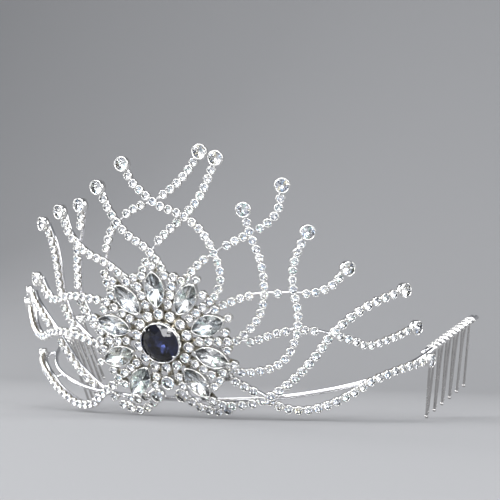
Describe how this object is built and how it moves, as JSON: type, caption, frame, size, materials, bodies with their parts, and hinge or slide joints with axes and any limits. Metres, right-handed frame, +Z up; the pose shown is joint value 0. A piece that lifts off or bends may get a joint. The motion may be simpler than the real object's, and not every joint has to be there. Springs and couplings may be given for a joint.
{
  "type": "bridal tiara",
  "caption": "Silver bridal tiara: an open lattice of crystal-set twigs with a flower rosette around a blue stone, on a curved band wire that ends in two hair combs.",
  "frame": {"origin": "centre of the bounding box at table level, between the front scallops and the comb teeth", "axes": "+X to the wearer's left, +Y towards the back of the head, +Z up from the table; the rosette faces -Y"},
  "size_m": [0.1502, 0.1038, 0.0741],
  "materials": {
    "setting_metal": "polished",
    "twig_metal": "polished",
    "comb_wire": "satin",
    "crystal": "faceted",
    "blue_stone": "faceted"
  },
  "bodies": {
    "root": {"base_wire": "twig_metal", "left_band_posts": "setting_metal", "left_comb_spine": "comb_wire", "right_comb_spine": "comb_wire", "left_comb_teeth": "comb_wire", "right_comb_teeth": "comb_wire", "left_comb_binding": "comb_wire", "right_comb_binding": "comb_wire", "left_twig_1": "twig_metal", "left_twig_2": "twig_metal", "left_twig_3": "twig_metal", "left_twig_4": "twig_metal", "left_twig_5": "twig_metal", "left_twig_6": "twig_metal", "left_twig_7": "twig_metal", "left_twig_8": "twig_metal", "left_twig_9": "twig_metal", "right_twig_1": "twig_metal", "right_twig_2": "twig_metal", "right_twig_3": "twig_metal", "right_twig_4": "twig_metal", "right_twig_5": "twig_metal", "right_twig_6": "twig_metal", "right_twig_7": "twig_metal", "right_twig_8": "twig_metal", "right_twig_9": "twig_metal", "left_scallop": "twig_metal", "right_scallop": "twig_metal", "left_twig_cups": "setting_metal", "right_twig_cups": "setting_metal", "left_twig_stones": "crystal", "right_twig_stones": "crystal", "scallop_cups": "setting_metal", "scallop_stones": "crystal", "tip_bezels": "setting_metal", "tip_stones": "crystal", "rosette_backplate": "setting_metal", "rosette_posts": "setting_metal", "rosette_gallery": "setting_metal", "centre_bezel": "setting_metal", "centre_stone": "blue_stone", "inner_ring_cups": "setting_metal", "inner_ring_stones": "crystal", "petal_settings": "setting_metal", "petal_stones": "crystal", "fill_cups": "setting_metal", "fill_stones": "crystal", "drop_bezel": "setting_metal", "drop_stone": "crystal"}
  },
  "joints": []
}
